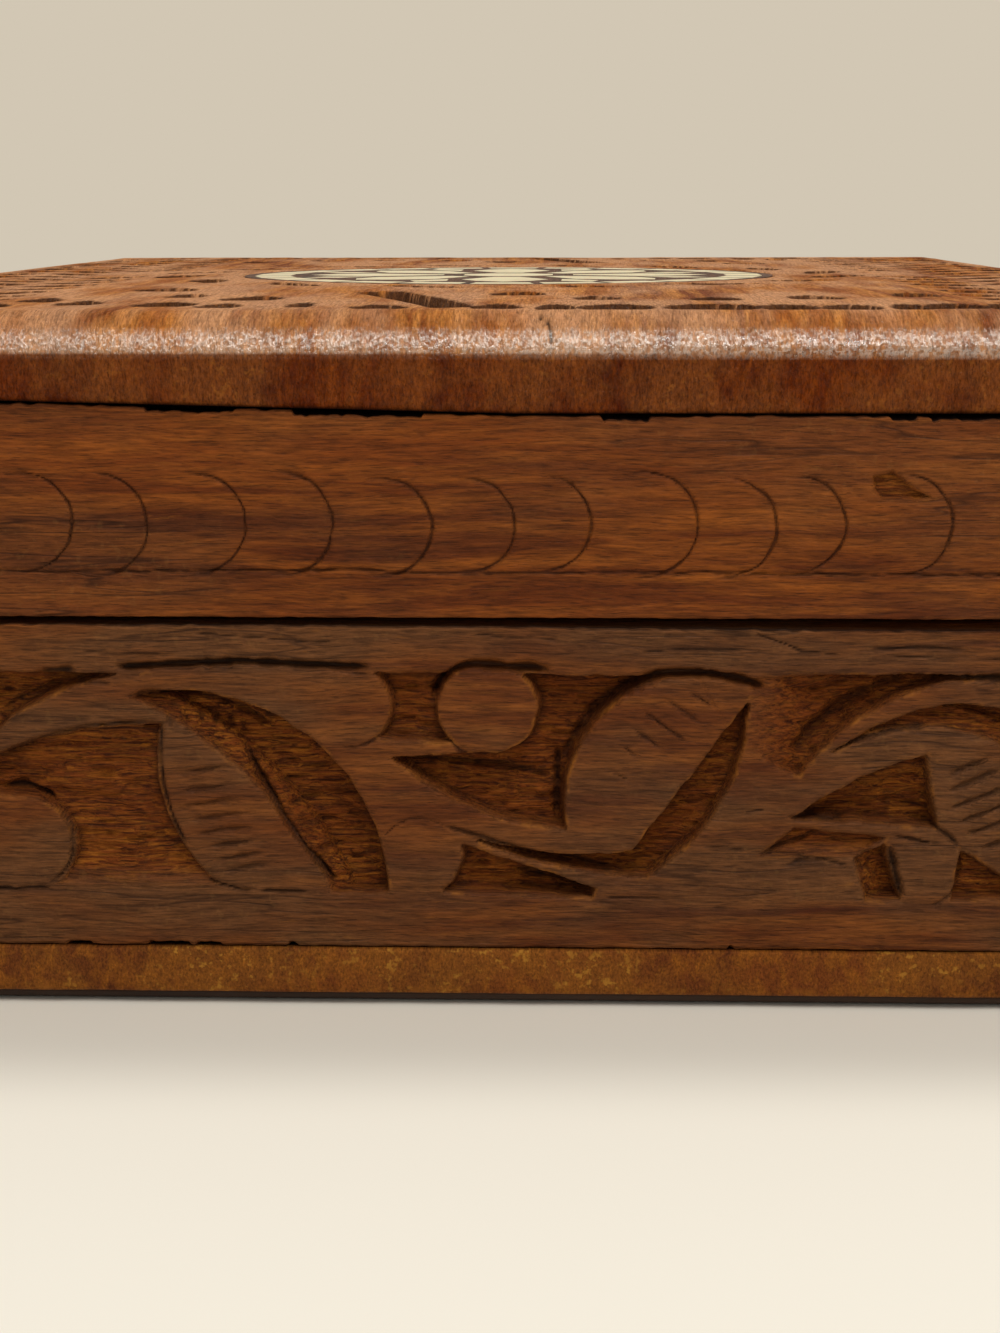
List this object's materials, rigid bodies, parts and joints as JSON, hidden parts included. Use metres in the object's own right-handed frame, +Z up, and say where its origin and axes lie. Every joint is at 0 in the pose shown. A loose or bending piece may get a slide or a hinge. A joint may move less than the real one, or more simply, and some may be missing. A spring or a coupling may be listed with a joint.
{
  "type": "keepsake box",
  "caption": "Low rectangular wooden box with a hinged lid, relief-carved walls, a rounded and carved lid board with a pale inlaid medallion, lined inside for papers and keepsakes.",
  "frame": {"origin": "centre of the underside of the felt pad, level with the table", "axes": "+Z up, +Y along the length away from the pictured short end, +X to the right as seen from that end, hinges on the -X side"},
  "size_m": [0.1556, 0.203, 0.0635],
  "materials": {
    "carved_wood": "oiled and thinly varnished, long grain, hand carved",
    "top_board_wood": "varnished, glossy along the round-over, end grain on the short edges",
    "bottom_board_wood": "thinly varnished, mottled end grain on the short edges",
    "inlay_ground_wood": "dark, satin",
    "pale_inlay": "cream, satin, faintly mottled like bone",
    "hinge_brass": "dulled brass",
    "base_felt": "dark pressed felt",
    "lining_cloth": "short pile cloth"
  },
  "bodies": {
    "base": {"felt_base": "base_felt", "bottom_board": "bottom_board_wood", "base_wall_front": "carved_wood", "base_wall_back": "carved_wood", "base_wall_left": "carved_wood", "base_wall_right": "carved_wood", "floor_lining": "lining_cloth", "hinge_front_base_leaf": "hinge_brass", "hinge_rear_base_leaf": "hinge_brass", "hinge_front_pin": "hinge_brass", "hinge_rear_pin": "hinge_brass"},
    "lid": {"lid_rail_front": "carved_wood", "lid_rail_back": "carved_wood", "lid_rail_left": "carved_wood", "lid_rail_right": "carved_wood", "top_board": "top_board_wood", "lid_lining": "lining_cloth", "inlay_ground": "inlay_ground_wood", "inlay_tiles": "pale_inlay", "inlay_petals": "pale_inlay", "inlay_darts": "pale_inlay", "inlay_centre": "pale_inlay", "hinge_front_lid_leaf": "hinge_brass", "hinge_rear_lid_leaf": "hinge_brass"}
  },
  "joints": [
    {"name": "lid_hinge", "type": "hinge", "parent": "base", "child": "lid", "pos_m": [-0.0776, 0, 0.03625], "axis": [0, -1, 0], "range_deg": [0, 180]}
  ]
}
